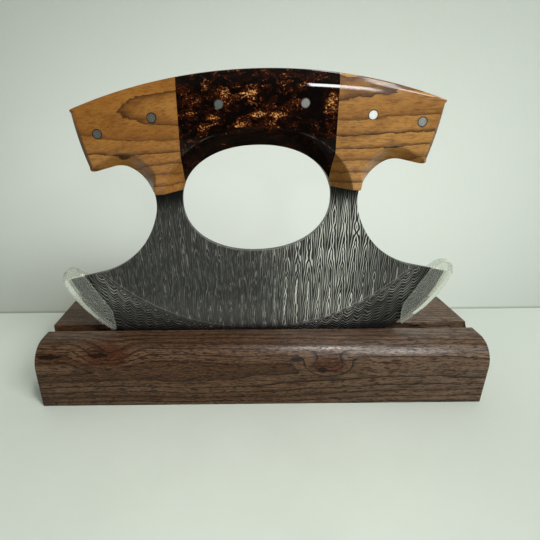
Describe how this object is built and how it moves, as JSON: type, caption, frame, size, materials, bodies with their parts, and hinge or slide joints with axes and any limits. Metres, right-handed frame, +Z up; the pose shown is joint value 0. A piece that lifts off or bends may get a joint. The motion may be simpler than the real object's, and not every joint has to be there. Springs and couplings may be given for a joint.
{
  "type": "ulu knife",
  "caption": "Ulu knife with a patterned steel blade, wood and cast resin scales on an arched grip and clear tip guards, standing in a slotted walnut stand.",
  "frame": {"origin": "centre of the stand's base, on the surface it stands on", "axes": "+Z up, +X along the stand and the blade, -Y towards the stand's front"},
  "size_m": [0.2286, 0.068, 0.1581],
  "materials": {
    "walnut": "oiled dark brown walnut with a lengthwise grain",
    "patterned_steel": "etched layered steel, dark and light lines",
    "oak": "honey coloured wood, polished, brown grain lines",
    "resin": "near-black cast resin with copper shimmer, polished",
    "pin_steel": "bright pin stock, sanded flush",
    "clear_plastic": "clear moulded plastic, slightly milky"
  },
  "bodies": {
    "stand": {"stand_block": "walnut"},
    "knife": {"blade": "patterned_steel", "left_front_scale": "oak", "centre_front_scale": "resin", "right_front_scale": "oak", "left_rear_scale": "oak", "centre_rear_scale": "resin", "right_rear_scale": "oak", "left_outer_pin": "pin_steel", "left_inner_pin": "pin_steel", "centre_left_pin": "pin_steel", "centre_right_pin": "pin_steel", "right_inner_pin": "pin_steel", "right_outer_pin": "pin_steel"},
    "left_guard": {"left_tip_guard": "clear_plastic"},
    "right_guard": {"right_tip_guard": "clear_plastic"}
  },
  "joints": [
    {"name": "knife_lift", "type": "slide", "parent": "stand", "child": "knife", "axis": [0, 0, 1], "range_m": [0, 0.06]},
    {"name": "left_guard_pull", "type": "slide", "parent": "knife", "child": "left_guard", "axis": [-1, 0, 0], "range_m": [0, 0.03]},
    {"name": "right_guard_pull", "type": "slide", "parent": "knife", "child": "right_guard", "axis": [1, 0, 0], "range_m": [0, 0.03]}
  ]
}
